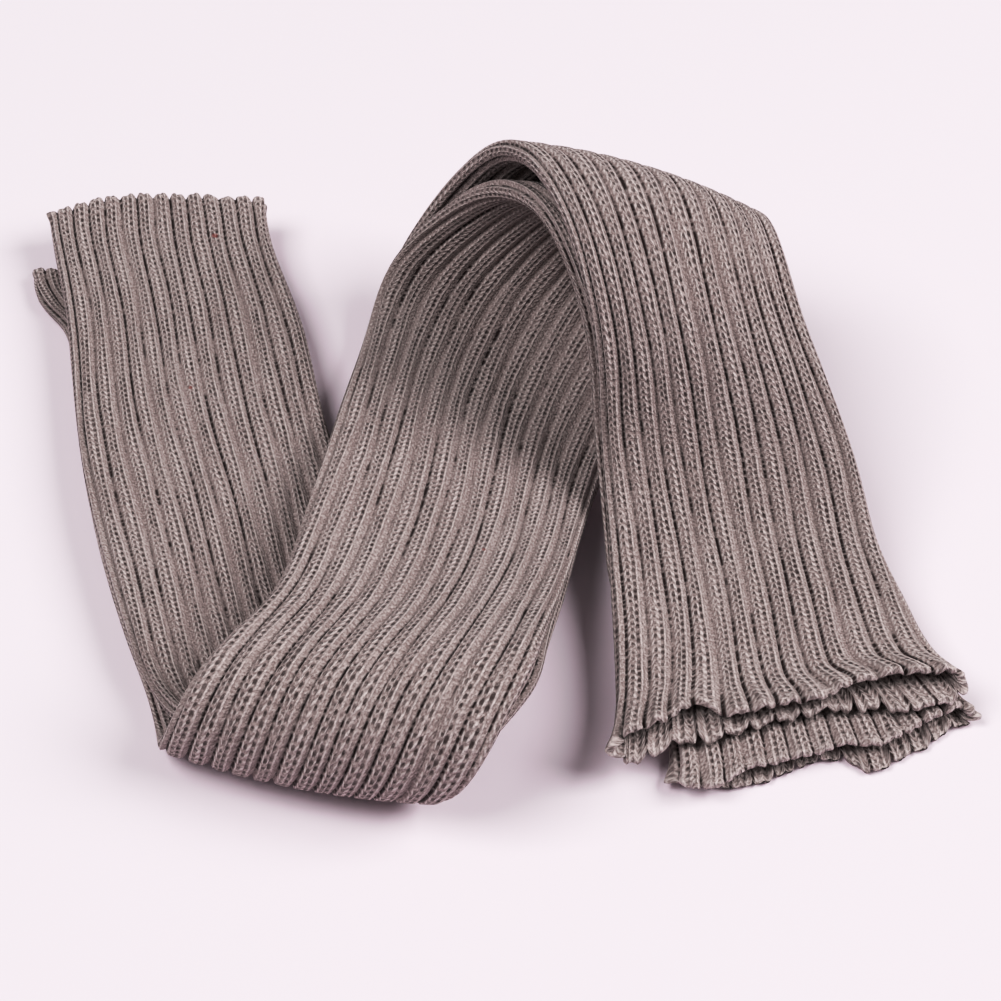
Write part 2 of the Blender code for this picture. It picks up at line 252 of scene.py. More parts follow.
# How far the valleys between the ribs are closed at places along the sock: 0 open, 1 shut.
CLOSINGS = [
    Closing(0, 0.85), Closing(35, 0.7), Closing(80, 0.35), Closing(190, 0.3), Closing(230, 0.7),
    Closing(275, 0.7), Closing(310, 0.3), Closing(450, 0.2), Closing(520, 0.5), Closing(550, 0.35),
    Closing(600, 0.65), Closing(640, 0.45), Closing(690, 0.5), Closing(723, 0.9),
]

# ---- colours, as the eye sees them (0 to 255) ----
YARN = (164, 149, 147)
# the pale yarn colour, also used as painted light on the stitch legs and for the fuzz at a cut edge
PALE_YARN_AND_LIGHT = (216, 203, 201)
# the dark yarn colour, also used as painted shade between the purl's bumps
DARK_YARN_AND_SHADE = (110, 94, 93)
# painted shade, put in the stitch holes and in the cracks at the valleys' bottoms
DEEP_SHADE = (52, 35, 34)
FLECK = (142, 74, 68)
PAPER = (249, 234, 244)

# ---- how strongly each shows in the knit's colour, 0 to 1 ----
FIBRE_CONTRAST = 0.45  # pale and dark fibres in the yarn
SLOW_TONE = 0.15  # pale drifts over the whole sock
PURL_GAP_SHADE = 0.45  # painted shade between the purl's bumps
LIT_WALE = 0.8  # painted light on the raised legs of the stitches
DARK_FIBRE = 0.3
PALE_RIM = 0.5  # fuzz beside a cut edge
# strength of the painted shade in the cracks and in the holes
CRACK_SHADE = 0.95
HOLE_SHADE = 0.92
RIM_HIDES = 0.6  # share of a hole's painted shade that the fuzz hides
FLECK_LEAST = 0.55  # a fleck's strength between the bumps
FLECK_MORE = 0.3  # and what it gains on them

# ---- light ----
ALL_ROUND = 0.1  # strength of the light from all sides
BACKDROP = 0.85  # how bright the space behind the floor looks
LAMP_DISTANCE = 2.8
LAMP_TARGET = (0, 0, 0.03)
Lamp = namedtuple("Lamp", "name side turn height width power")
# side: +1 stands to the right. turn: degrees from straight beside the socks toward their front.
# height: degrees over the floor.
LAMPS = [
    Lamp("right lamp", 1, 3, 43, 1.6, 51),
    Lamp("left lamp", -1, 15, 59, 1.5, 39),
]
TONE = [(0, 0), (0.1, 0.09), (0.3, 0.4), (0.5, 0.67), (1, 1)]  # light before and after the curve

# ---- floor and camera, in metres and millimetres of film ----
FLOOR_REACH = 3  # from its middle to each side
FLOOR_BELOW = 0.0002  # how far it lies under the socks
CAMERA_TILT = 50  # degrees down from level
CAMERA_DISTANCE = 0.8912
CAMERA_TARGET = (0, 0.105, 0.030)  # on the path's plan
LENS = 100
FILM = 36
LENS_SHIFT = -0.0305


# ---------------------------------------------------------------- the path

def spline(knots, rows, at):
    """Natural cubic spline through rows, read at the given places."""
    step = np.diff(knots)
    size = len(knots)
    system = np.eye(size)
    target = np.zeros((size, rows.shape[1]))
    for i in range(1, size - 1):
        system[i, i - 1 : i + 2] = step[i - 1], 2 * (step[i - 1] + step[i]), step[i]
        rise = (rows[i + 1] - rows[i]) / step[i] - (rows[i] - rows[i - 1]) / step[i - 1]
        target[i] = 6 * rise
    bend = np.linalg.solve(system, target)
    low = np.clip(np.searchsorted(knots, at) - 1, 0, size - 2)
    width = step[low][:, None]
    a = (knots[low + 1] - at)[:, None] / width
    b = 1 - a
    straight = a * rows[low] + b * rows[low + 1]
    return straight + ((a**3 - a) * bend[low] + (b**3 - b) * bend[low + 1]) * width**2 / 6


def unit(v):
    return v / np.linalg.norm(v, axis=-1, keepdims=True)


def running(points):
    """Length along a line of points, from its start."""
    return np.concatenate([[0], np.cumsum(np.linalg.norm(np.diff(points, axis=0), axis=1))])


def ease(x):
    """0 to 1, smooth at both ends."""
    x = np.clip(x, 0, 1)
    return x * x * (3 - 2 * x)


ROWS = np.array([[*s.left, *s.right, *s[2:]] for s in PATH], float)
KNOTS = (running(ROWS[:, 0:3]) + running(ROWS[:, 3:6])) / 2
LENGTH = KNOTS[-1]


class Path:
    """The surface between the socks at each row, and each sock's own version of it."""

    def __init__(self, sock, at):
        c = spline(KNOTS, ROWS, at)
        near_start = 1 - ease(at / SHIFT_OVER)
        near_end = 1 - ease((LENGTH - at) / SHIFT_OVER)
        self.at = at
        self.left = c[:, 0:3].copy()
        self.right = c[:, 3:6].copy()
        for edge, start, end in (
            (self.left, sock.start_left, sock.end_left),
            (self.right, sock.start_right, sock.end_right),
        ):
            for axis in (0, 1):
                edge[:, axis] += near_start * start[axis] + near_end * end[axis]
        self.bow = c[:, 6:7]
        self.gaps = np.clip(c[:, 7:9], 0, None)
        self.tuck = np.clip(c[:, 9:10], 0, None) * (sock.side > 0)
        self.to_end = np.minimum(at, LENGTH - at)[:, None]
        self.flare = 1 - ease(self.to_end / FLARE_OVER)
        self.width = np.linalg.norm(self.right - self.left, axis=1)[:, None]
        f = np.linspace(0, 1, NORMALS)[None, :, None]
        grid = self.left[:, None] * (1 - f) + self.right[:, None] * f
        chord = self.right - self.left
        onward = np.gradient((self.left + self.right) / 2, axis=0)
        up = unit(np.cross(onward, chord))[:, None]
        grid = grid + up * self.bow[:, :, None] * (4 * f * (1 - f))
        ahead = np.gradient(grid, axis=0)
        self.normals = unit(np.cross(ahead, np.gradient(grid, axis=1)))
        self.ahead = unit(ahead.mean(axis=1))[:, None]

    def points(self, share, lift, tip):
        """Points at every row: share of the width, how far off the path, how far along it."""
        f = np.clip(share, 0, 1)
        step = f * (NORMALS - 1)
        j = np.minimum(step.astype(int), NORMALS - 2)
        part = (step - j)[..., None]
        row = np.arange(len(self.at))[:, None]
        n = unit(self.normals[row, j] * (1 - part) + self.normals[row, j + 1] * part)
        p = self.left[:, None] * (1 - share[..., None]) + self.right[:, None] * share[..., None]
        p = p + n * (lift + self.bow * 4 * f * (1 - f))[..., None]
        return p + self.ahead * tip[..., None]


def stadium(turn, width, thick):
    """Points round a flat ring: across, lift, and the way out in both. turn runs 0 to 1."""
    straight = width - thick
    r = thick / 2
    bend = math.pi * r
    d = (turn % 1.0) * 2 * (straight + bend)
    right = (d - straight) / r
    left = (d - 2 * straight - bend) / r
    parts = [d < straight, d < straight + bend, d < 2 * straight + bend]
    going = r + d
    back = width - r - (d - straight - bend)
    across = np.select(parts, [going, width - r + r * np.sin(right), back], r - r * np.sin(left))
    lift = np.select(parts, [r, r * np.cos(right), -r], -r * np.cos(left))
    out_x = np.select(parts, [0, np.sin(right), 0], -np.sin(left))
    out_y = np.select(parts, [1, np.cos(right), -1], -np.cos(left))
    return across, lift, out_x, out_y


# ---------------------------------------------------------------- the knit's own shape
# The waves below make the knit uneven. The number before a wave is its size, a number that divides at is
# its length in mm for each radian, and one that multiplies a rib or valley sets it apart from the next.

def closing(u, at, phase):
    """How far the valley nearest to each point is closed, 0 to 1. u counts ribs, and a whole number is a
    valley."""
    places, amounts = np.array(CLOSINGS, float).T
    valley = np.floor(u + 0.5) % RIBS
    uneven = 0.5 * np.sin(at / 19 + 2.4 * valley + phase) * np.cos(at / 43 - 1.7 * valley)
    uneven = uneven + 0.25 * np.sin(2.9 * valley + 2 * phase)
    return np.clip(np.interp(at, places, amounts) + uneven, 0, 1)


def crease_depth(sock, u, at):
    """0 to 1 along the long creases, which follow a valley."""
    deep = np.zeros(np.broadcast_shapes(u.shape, at.shape))
    for crease in sock.creases:
        away = np.abs((u - crease.valley + RIBS / 2) % RIBS - RIBS / 2)
        middle = (crease.start + crease.end) / 2
        half = (crease.end - crease.start) / 2
        along = 1 - ease(np.abs(at - middle) / half)
        deep = np.maximum(deep, crease.deep * along * (1 - ease(away / 0.5)))
    return deep


def rib_relief(u, at, closed, phase):
    """How deep each point lies below its rib's crest, in mm. u counts ribs, with a crest at each half."""
    off = np.abs(u % 1.0 - 0.5) / (1 + CLOSE * closed)
    rib = np.floor(u) % RIBS
    uneven = 1 + 0.2 * np.sin(1.9 * rib + phase + at / 31) * np.cos(0.8 * rib - at / 47)
    return RIB * uneven * (1 + RIB_GROWS * closed) * ease((off - CREST) / (FOOT - CREST))


def drift(u, at, phase):
    """Sideways wander of the ribs, in mm. Neighbours bend together, and each a little on its own."""
    round_the_sock = 2 * math.pi * u / RIBS
    own = 0.16 * np.sin(at / 9.7 + 2.7 * (np.floor(u + 0.5) % RIBS) + phase)
    together = 0.8 * np.sin(at / 21 + round_the_sock + phase)
    together = together + 0.9 * np.sin(at / 47 - 2 * round_the_sock + 2 * phase)
    return own + together


def wander(u, phase):
    """An uneven wave round the sock, about -1 to 1, with no pattern that the eye finds."""
    turn = 2 * math.pi * u / RIBS
    wave = 0.45 * np.sin(5 * turn + phase) + 0.35 * np.sin(9 * turn - 2.3 * phase)
    return wave + 0.3 * np.sin(14 * turn + 1.7 * phase)


def spread_rows(count, end_count, end_length):
    """Places along the sock, with end_count of the rows close together in each end."""
    marks = [0, end_count, count - end_count, count]
    places = [0, end_length, LENGTH - end_length, LENGTH]
    return np.interp(np.arange(count + 1), marks, places)


def columns():
    """Places round the sock, in ribs, closer together on the wall that faces out."""
    seen = SEEN_RIBS * SEEN_COLUMNS
    count = seen + (RIBS - SEEN_RIBS) * HIDDEN_COLUMNS
    places = [FIRST_RIB, FIRST_RIB + SEEN_RIBS, FIRST_RIB + RIBS]
    return np.interp(np.arange(count + 1), [0, seen, count], places)


def edge_line(edge, turn):
    """Push and rise of an end's line at each turn round the sock."""
    turns, push, rise = np.array(edge, float).T
    return np.array([np.interp(turn, turns, values, period=1) for values in (push, rise)])


def ruffled_ends(sock, path, u, push, lift, out_y):
    """What a ruffled end adds at each point, in mm: its wave off the wall, its roll outward, and how far it
    moves the point along the sock. push is the end's own line."""
    near = path.at[:, None] > LENGTH / 2
    heading = np.where(near, 1.0, -1.0)
    size = np.where(near, 1.0, FAR_END)
    arc = np.abs(np.sin(math.pi * u))
    wales = np.sqrt(np.abs(np.sin(2 * math.pi * u)))
    outward = np.clip(out_y, 0, 1)
    facing = np.clip(-out_y, 0, 1)
    rim = 1 - ease(path.to_end / FRILL_OVER)
    whim = wander(u, sock.phase + heading)
    crowding = UNEVEN_PLEATS * wander(u, sock.phase - heading)
    pleats = np.sin(2 * math.pi * (FRILL_WAVES * u / RIBS + crowding))
    wave = RUFFLE * path.flare * ((2 * arc - 1) * (1 + UNEVEN_RUFFLE * whim) + STRAY_RUFFLE * whim)
    wave = wave + FRILL * rim * pleats * (1 - CALMER_OUTSIDE * outward)
    wave = size * (1 - (1 - FACING_SHARE) * facing) * wave
    curl = CURL * (1 - ease(path.to_end / CURL_OVER)) * (1 + arc) / 2
    scallop = size * SCALLOP * (1 + whim) * (np.sqrt(arc) - SCALLOP_MEAN)
    fray = FRAY * (wales - SCALLOP_MEAN) * (1 + UNEVEN_FRAY * whim) + FRAY / 2 * near * pleats
    tip = path.flare * (scallop - LEAN * lift + STRAY_TIP * whim) + rim * fray
    return wave, curl, heading * (tip + (1 - ease(path.to_end / EDGE_OVER)) * push)


def wall(sock, at, sunk):
    """The outer wall, or the inner one where sunk, at these places along the sock: its points, the place
    along the knit of each, and how far the valley there is closed."""
    path = Path(sock, at)
    u = columns()[None, :]
    s = at[:, None]
    near = s > LENGTH / 2
    flare = path.flare
    thick = TUBE + MOUTH * flare
    turn = (u - WALL_START + drift(u, s, sock.phase) / PITCH * (1 - flare)) / RIBS
    across, lift, out_x, out_y = stadium(turn, path.width - path.tuck, thick)
    across = across + path.tuck
    push, rise = np.where(near, edge_line(sock.near_edge, turn), edge_line(sock.far_edge, turn))
    wave, curl, tip = ruffled_ends(sock, path, u, push, lift, out_y)
    crease = crease_depth(sock, u, s)
    closed = np.clip(closing(u, s, sock.phase) + crease, 0, 1)
    relief = rib_relief(u, s, closed, sock.phase) * (1 - SOFTER_END * flare) + CREASE * crease
    drop = WALL * (1 - THINNER * flare) if sunk else np.minimum(relief, WALL - LEAST_WALL) - curl
    slack = path.gaps[:, 0:1] * (1 - across / path.width) + path.gaps[:, 1:2] * across / path.width
    middle = CLEAR / 2 + thick / 2 + slack * (sock.side > 0) + RUFFLE * FACING_SHARE * flare
    x = (across + out_x * (wave - drop)) / path.width
    y = sock.side * (middle + lift + rise * flare + out_y * (wave - drop))
    return path.points(x, y, tip), s + tip, closed


def lip(outer, inner, ahead):
    """The rounded edge between the two walls at one end."""
    t = np.arange(1, LIP_ROWS)[:, None, None] / LIP_ROWS
    bulge = LIP_BULGE * np.sin(math.pi * t)
    return outer * (1 - ease(t)) + inner * ease(t) + ahead * bulge


def sock_points(sock):
    """Every row of the closed wall: outer wall out, a lip, inner wall back, the other lip and the first
    row again. With them, each point's place along the knit, which runs on over the lips, and two masks: how
    far the valley there is closed, and how near the cut edge is."""
    at = spread_rows(OUTER_ROWS, END_ROWS, END_LENGTH)
    inner_at = spread_rows(INNER_ROWS, INNER_END_ROWS, END_LENGTH)
    outer, place, closed = wall(sock, at, False)
    inner, inner_place, closed_too = [values[::-1] for values in wall(sock, inner_at, True)]
    ends = Path(sock, at[[0, 1, -2, -1]]).ahead
    far = lip(outer[-1], inner[0], ends[3])
    near = lip(inner[-1], outer[0], -ends[0])
    points = np.concatenate([outer, far, inner, near, outer[:1]])
    over = np.arange(1, LIP_ROWS)[:, None] / LIP_ROWS * LIP_LENGTH
    last = place[-1:] + LIP_LENGTH
    back_again = last + inner_place[:1] - inner_place
    first = back_again[-1:]
    places = np.concatenate([place, place[-1:] + over, back_again, first + over, first + LIP_LENGTH])
    lips = [np.repeat(row, LIP_ROWS - 1, axis=0) for row in (closed[-1:], closed[:1])]
    closed = np.concatenate([closed, lips[0], closed_too, lips[1], closed[:1]])
    to_end, to_end_too = [np.minimum(s, LENGTH - s) for s in (at, inner_at[::-1])]
    over_lip = np.zeros(LIP_ROWS - 1)
    to_end = np.concatenate([to_end, over_lip, to_end_too, over_lip, [0]])[:, None]
    rim = np.broadcast_to(1 - ease(to_end / RIM), places.shape)
    lowest = LOWEST[sock.node]
    inside = slice(len(outer), len(outer) + len(far) + len(inner))
    points[:, :, 2] = np.maximum(points[:, :, 2], lowest)
    points[inside, :, 2] = np.maximum(points[inside, :, 2], lowest + LOWEST_INSIDE)
    return points - np.array(MIDDLE), places, {"closed": closed, "rim": rim}


def sock_piece(sock):
    """The closed wall, from one grid whose first and last rows and columns are sewn together."""
    points, places, masks = sock_points(sock)
    row_count, column_count = points.shape[:2]
    mesh = bmesh.new()
    bmesh.ops.create_grid(mesh, x_segments=column_count - 1, y_segments=row_count - 1, size=1)
    made = bpy.data.meshes.new(sock.name)
    mesh.to_mesh(made)
    mesh.free()

    def on_grid(values, last):
        return np.rint((values + 1) / 2 * last).astype(int)

    flat = np.zeros(len(made.vertices) * 3)
    made.vertices.foreach_get("co", flat)
    flat = flat.reshape(-1, 3)
    column = on_grid(flat[:, 0], column_count - 1)
    row = on_grid(flat[:, 1], row_count - 1)
    made.vertices.foreach_set("co", (points[row, column] * MM).ravel())
    for name, mask in masks.items():
        made.attributes.new(name, "FLOAT", "POINT").data.foreach_set("value", mask[row, column])
    corner = np.zeros(len(made.loops), np.int32)
    made.loops.foreach_get("vertex_index", corner)
    u = columns()[column[corner]]
    v = places[row[corner], column[corner]] / COURSE
    made.uv_layers.new(name="knit").data.foreach_set("uv", np.stack([u, v], axis=1).ravel())

    mesh = bmesh.new()
    mesh.from_mesh(made)
    bmesh.ops.remove_doubles(mesh, verts=mesh.verts, dist=SEWN)
    bmesh.ops.recalc_face_normals(mesh, faces=mesh.faces)
    mesh.to_mesh(made)
    mesh.free()
    made.shade_smooth()
    piece = bpy.data.objects.new(sock.name, made)
    bpy.context.scene.collection.objects.link(piece)
    return piece


# ---------------------------------------------------------------- materials

def linear(colour):
    """A colour as the eye sees it, 0 to 255, as Blender's own."""
    c = np.array(colour) / 255
    return (*np.where(c < 0.04045, c / 12.92, ((c + 0.055) / 1.055) ** 2.4), 1)


class Nodes:
    """Adds nodes to one tree. A value is a number or another node's output."""

    def __init__(self, tree):
        self.tree = tree
        self.placed = 0

    def add(self, kind, inputs=(), **settings):
        node = self.tree.nodes.new(kind)
        node.location = (180 * (self.placed // 6), -170 * (self.placed % 6))
        self.placed += 1
        for name, value in settings.items():
            setattr(node, name, value)
        for name, value in dict(inputs).items():
            self.put(node.inputs[name], value)
        return node

    def put(self, socket, value):
        if isinstance(value, bpy.types.NodeSocket):
            self.tree.links.new(value, socket)
        else:
            socket.default_value = value

    def math(self, operation, a, b=0.0, c=0.0):
        node = self.add("ShaderNodeMath", operation=operation)
        for socket, value in zip(node.inputs, (a, b, c)):
            self.put(socket, value)
        return node.outputs[0]

    def times(self, a, b):
        return self.math("MULTIPLY", a, b)

    def plus(self, a, b):
        return self.math("ADD", a, b)

    def minus(self, a, b):
        return self.math("SUBTRACT", a, b)

    def over(self, a, b):
        return self.math("DIVIDE", a, b)

    def larger(self, a, b):
        return self.math("MAXIMUM", a, b)

    def size(self, a):
        return self.math("ABSOLUTE", a)

    def whole(self, a):
        return self.math("FLOOR", a)

    def centred(self, a):
        """How far a is from the middle of its whole number, -0.5 to 0.5."""
        return self.minus(self.math("FRACT", a), 0.5)

    def vector(self, operation, a, b=(0, 0, 0)):
        return self.add("ShaderNodeVectorMath", {0: a, 1: b}, operation=operation).outputs

    def fade(self, value, low, high):
        """0 at low and 1 at high, smooth between; low may be the larger."""
        node = self.add("ShaderNodeMapRange", interpolation_type="SMOOTHSTEP")
        for name, number in (("From Min", low), ("From Max", high)):
            self.put(node.inputs[name], number)
        self.put(node.inputs["Value"], value)
        return node.outputs[0]

    def mix(self, share, a, b):
        node = self.add("ShaderNodeMix", data_type="RGBA")
        for socket, value in zip((node.inputs[0], node.inputs[6], node.inputs[7]), (share, a, b)):
            self.put(socket, value)
        return node.outputs[2]

    def at(self, x, y, z=0.0):
        node = self.add("ShaderNodeCombineXYZ", {"X": x, "Y": y, "Z": z})
        return node.outputs[0]

    def noise(self, vector, scale, detail=0.0, dimensions="2D"):
        inputs = {"Vector": vector, "Scale": scale, "Detail": detail}
        return self.add("ShaderNodeTexNoise", inputs, noise_dimensions=dimensions).outputs["Fac"]

    def grain(self, u, v, across, along, detail=0.0):
        """Noise on the knit, with so many grains to a rib and to a course. Where u is a rib's number, each
        rib has its own line of it."""
        return self.noise(self.at(self.times(u, across), self.times(v, along)), 1.0, detail)

    def chance(self, vector):
        """A number from 0 to 1 for each place, with nothing shared between neighbours."""
        node = self.add("ShaderNodeTexWhiteNoise", {"Vector": vector}, noise_dimensions="2D")
        return node.outputs["Value"]


def new_group(name, inputs, outputs):
    """An empty shader group; inputs are (name, kind, default) and outputs (name, kind)."""
    tree = bpy.data.node_groups.new(name, "ShaderNodeTree")
    for label, kind, default in inputs:
        socket = tree.interface.new_socket(label, in_out="INPUT", socket_type=kind)
        if default is not None:
            socket.default_value = default
    for label, kind in outputs:
        tree.interface.new_socket(label, in_out="OUTPUT", socket_type=kind)
    nodes = Nodes(tree)
    return tree, nodes, nodes.add("NodeGroupInput").outputs, nodes.add("NodeGroupOutput").inputs


FLOAT = "NodeSocketFloat"
VECTOR = "NodeSocketVector"
COLOUR = "NodeSocketColor"


def rib_stitches():
    """The stitches of one rib, from left to right: a crack, two legs of round beads with faint holes between
    them, a line of deep holes, a smooth leg, and a faint one before the next crack, all on purl."""
    inputs = [("Knit UV", VECTOR, None), ("Closed", FLOAT, 0.5)]
    outputs = [(label, FLOAT) for label in ("Height", "Holes", "Wale", "Purl", "Crack")]
    tree, n, given, out = new_group("rib stitches", inputs, outputs)
    split = n.add("ShaderNodeSeparateXYZ", {"Vector": given["Knit UV"]}).outputs
    u, v = split["X"], split["Y"]
    closed = given["Closed"]
    rib = n.math("WRAP", n.whole(u), RIBS, 0)
    sway = n.minus(n.grain(rib, v, 7.3, 0.3, 1.0), 0.5)
    # a rib is wider where its valleys are closed
    place = n.over(n.centred(u), n.plus(1.0, n.times(closed, CLOSE)))
    place = n.plus(n.plus(place, 0.5), n.times(sway, SWAY))
    course = n.plus(v, n.times(n.grain(rib, v, 3.1, 0.21), AHEAD))
    half_on = n.plus(course, 0.5)
    # two chances for each stitch; the number added to the rib's sets the second apart
    luck = n.chance(n.at(rib, n.whole(course)))
    luck_too = n.chance(n.at(n.plus(rib, 31.7), n.whole(half_on)))

    def hole(kind, along, size_chance, depth_chance):
        """A line of round holes, each of its own size and depth."""
        width = n.plus(kind.width, n.times(size_chance, kind.width / 2))
        length = n.plus(kind.length, n.times(size_chance, HOLE_LONGER))
        x = n.over(n.minus(place, kind.line), width)
        y = n.over(n.centred(along), length)
        inside = n.fade(n.plus(n.times(x, x), n.times(y, y)), *SOFT_HOLE)
        return n.times(inside, n.plus(kind.least, n.times(depth_chance, kind.more)))

    def leg(kind, chance):
        """A line of the stitches' legs, each of its own strength."""
        side = n.over(n.minus(place, kind.line), kind.width)
        body = n.fade(n.size(side), *SOFT_LEG)
        loops = n.math("COSINE", n.times(n.minus(course, n.times(side, kind.slant)), 2 * math.pi))
        loops = n.plus(1.0 - kind.beads, n.times(n.plus(loops, 1.0), kind.beads / 2))
        strength = n.plus(LEG_LEAST, n.times(chance, LEG_MORE))
        return n.times(n.times(n.times(body, loops), strength), kind.strength)

    # the holes between the legs, which the knit's colour fills with painted shade
    holes = n.larger(hole(DEEP_HOLES, course, luck, luck_too), hole(FAINT_HOLES, half_on, luck_too, luck))
    groove = n.fade(n.size(n.minus(place, DEEP_HOLES.line)), GROOVE, GROOVE / 4)
    inner_legs = n.larger(leg(SMOOTH_LEG, luck), leg(BEADED_LEG, luck_too))
    wale = n.larger(inner_legs, n.larger(leg(LEANING_LEG, luck), leg(OUTER_LEG, luck_too)))
    # purl: small bumps, without order
    purl = n.fade(n.grain(u, v, 8.0, 2.6, 1.0), 0.34, 0.66)
    # crack: the bottom of the valley, in dashes a few courses long, wider and stronger where the valley is
    # shut; the knit's colour fills it with painted shade
    from_crack = n.plus(u, 0.5 - CRACK)
    valley = n.math("WRAP", n.whole(from_crack), RIBS, 0)
    long_dash = n.minus(n.grain(valley, v, 5.7, 0.22, 2.0), 0.5)
    shut = n.fade(n.plus(closed, n.times(long_dash, 1.5)), 0.15, 0.7)
    dash = n.fade(n.grain(valley, v, 9.1, 1.9), 0.3, 0.6)
    aside = n.size(n.plus(n.centred(from_crack), n.times(sway, CRACK_SWAY)))
    crack = n.fade(n.over(aside, n.plus(CRACK_WIDTH, n.times(shut, CRACK_WIDENS))), *SOFT_CRACK)
    strength = n.plus(CRACK_LEAST, n.times(shut, 1 - CRACK_LEAST))
    crack = n.times(crack, n.times(strength, n.plus(CRACK_LEAST, dash)))
    height = n.plus(n.times(wale, WALE_RISE), n.times(purl, PURL_RISE))
    drop = n.plus(n.times(groove, GROOVE_DROP), n.times(crack, CRACK_DROP))
    height = n.minus(height, n.plus(n.times(holes, HOLE_DROP), drop))
    found = {"Height": height, "Holes": holes, "Wale": wale, "Purl": purl, "Crack": crack}
    for label, value in found.items():
        n.put(out[label], value)
    return tree


def heather_yarn():
    """Colour of a mixed yarn: pale, middling and dark fibres along the stitches, and slow drifts of tone."""
    inputs = [
        ("Knit UV", VECTOR, None),
        ("Yarn", COLOUR, None),
        ("Pale", COLOUR, None),
        ("Dark", COLOUR, None),
        ("Contrast", FLOAT, 0.5),
    ]
    tree, n, given, out = new_group("heather yarn", inputs, [("Colour", COLOUR), ("Fibres", FLOAT)])
    place = n.add("ShaderNodeTexCoord").outputs["Object"]
    split = n.add("ShaderNodeSeparateXYZ", {"Vector": given["Knit UV"]}).outputs
    fine = n.grain(split["X"], split["Y"], 11.0, 3.6, 2.0)
    slow = n.noise(place, 38.0, 2.0, "3D")
    pale = n.times(n.fade(fine, 0.5, 0.74), given["Contrast"])
    dark = n.times(n.fade(fine, 0.5, 0.28), given["Contrast"])
    tone = n.mix(pale, given["Yarn"], given["Pale"])
    tone = n.mix(dark, tone, given["Dark"])
    tone = n.mix(n.times(n.fade(slow, 0.35, 0.7), SLOW_TONE), tone, given["Pale"])
    n.put(out["Colour"], tone)
    n.put(out["Fibres"], fine)
    return tree


def fleck_mask(n, uv, fleck):
    """1 in a fleck, fading to 0 round it."""
    away = n.vector("SUBTRACT", uv, (fleck.rib, fleck.place / COURSE, 0))["Vector"]
    away = n.vector("LENGTH", n.vector("MULTIPLY", away, (PITCH, COURSE, 0))["Vector"])["Value"]
    return n.fade(away, fleck.across * 0.8, fleck.across * 0.4)


def knit_material(sock, stitches, yarn):
    """The knit of one sock: the yarn's own colour, painted light on the legs and painted shade in the holes,
    cracks and purl.
    """
    material = bpy.data.materials.new("ribbed_" + sock.node)
    material.use_nodes = True
    n = Nodes(material.node_tree)
    shader = material.node_tree.nodes["Principled BSDF"]
    uv = n.add("ShaderNodeUVMap", uv_map="knit").outputs[0]
    closed = n.add("ShaderNodeAttribute", attribute_name="closed").outputs["Fac"]
    rim = n.add("ShaderNodeAttribute", attribute_name="rim").outputs["Fac"]
    knit = n.add("ShaderNodeGroup", {"Knit UV": uv, "Closed": closed}, node_tree=stitches).outputs
    colours = {"Yarn": linear(YARN), "Pale": linear(PALE_YARN_AND_LIGHT), "Dark": linear(DARK_YARN_AND_SHADE)}
    given = {"Knit UV": uv, **colours, "Contrast": FIBRE_CONTRAST}
    fibre = n.add("ShaderNodeGroup", given, node_tree=yarn).outputs
    layers = [
        # painted shade between the purl's bumps
        (n.minus(1.0, knit["Purl"]), PURL_GAP_SHADE, DARK_YARN_AND_SHADE),
        # painted light: the raised legs of the stitches made paler
        (n.fade(knit["Wale"], 0.2, 0.95), LIT_WALE, PALE_YARN_AND_LIGHT),
        (n.fade(fibre["Fibres"], 0.5, 0.25), DARK_FIBRE, DARK_YARN_AND_SHADE),
        (n.times(rim, knit["Purl"]), PALE_RIM, PALE_YARN_AND_LIGHT),
        # painted shade in the valleys' cracks and the stitch holes, less where the fuzz hides a hole
        (knit["Crack"], CRACK_SHADE, DEEP_SHADE),
        (n.times(knit["Holes"], n.minus(1.0, n.times(rim, RIM_HIDES))), HOLE_SHADE, DEEP_SHADE),
    ]
    colour = fibre["Colour"]
    for mask, strength, shown in layers:
        colour = n.mix(n.times(mask, strength), colour, linear(shown))
    fleck_strength = n.plus(FLECK_LEAST, n.times(knit["Purl"], FLECK_MORE))
    for fleck in sock.flecks:
        colour = n.mix(n.times(fleck_mask(n, uv, fleck), fleck_strength), colour, linear(FLECK))
    n.put(shader.inputs["Base Color"], colour)
    n.put(shader.inputs["Roughness"], n.plus(0.82, n.times(fibre["Fibres"], 0.16)))
    shader.inputs["Specular IOR Level"].default_value = 0.18
    shader.inputs["Sheen Weight"].default_value = 0.12
    shader.inputs["Sheen Roughness"].default_value = 0.5
    height = n.plus(knit["Height"], n.times(fibre["Fibres"], FIBRE_RISE))
    bump = n.add("ShaderNodeBump", {"Height": height, "Strength": 1.0, "Distance": RELIEF * MM})
    n.put(shader.inputs["Normal"], bump.outputs[0])
    return material


def paper_material():
    material = bpy.data.materials.new("pale_paper")
    material.use_nodes = True
    n = Nodes(material.node_tree)
    shader = material.node_tree.nodes["Principled BSDF"]
    place = n.add("ShaderNodeTexCoord").outputs["Object"]
    grain = n.noise(place, 900.0, 2.0, "3D")
    shader.inputs["Base Color"].default_value = linear(PAPER)
    n.put(shader.inputs["Roughness"], n.plus(0.85, n.times(grain, 0.1)))
    shader.inputs["Specular IOR Level"].default_value = 0.1
    return material


# ---------------------------------------------------------------- the pieces, floor, light and camera

def make_socks():
    stitches = rib_stitches()
    yarn = heather_yarn()
    for sock in SOCKS:
        piece = sock_piece(sock)
        piece.data.materials.append(knit_material(sock, stitches, yarn))
        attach(piece, "root")
        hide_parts(sock.node)


def make_floor():
    mesh = bmesh.new()
    bmesh.ops.create_grid(mesh, x_segments=1, y_segments=1, size=FLOOR_REACH)
    bmesh.ops.translate(mesh, verts=mesh.verts, vec=(0, 0, -FLOOR_BELOW))
    made = bpy.data.meshes.new("floor")
    mesh.to_mesh(made)
    mesh.free()
    made.materials.append(paper_material())
    floor = bpy.data.objects.new("floor", made)
    bpy.context.scene.collection.objects.link(floor)


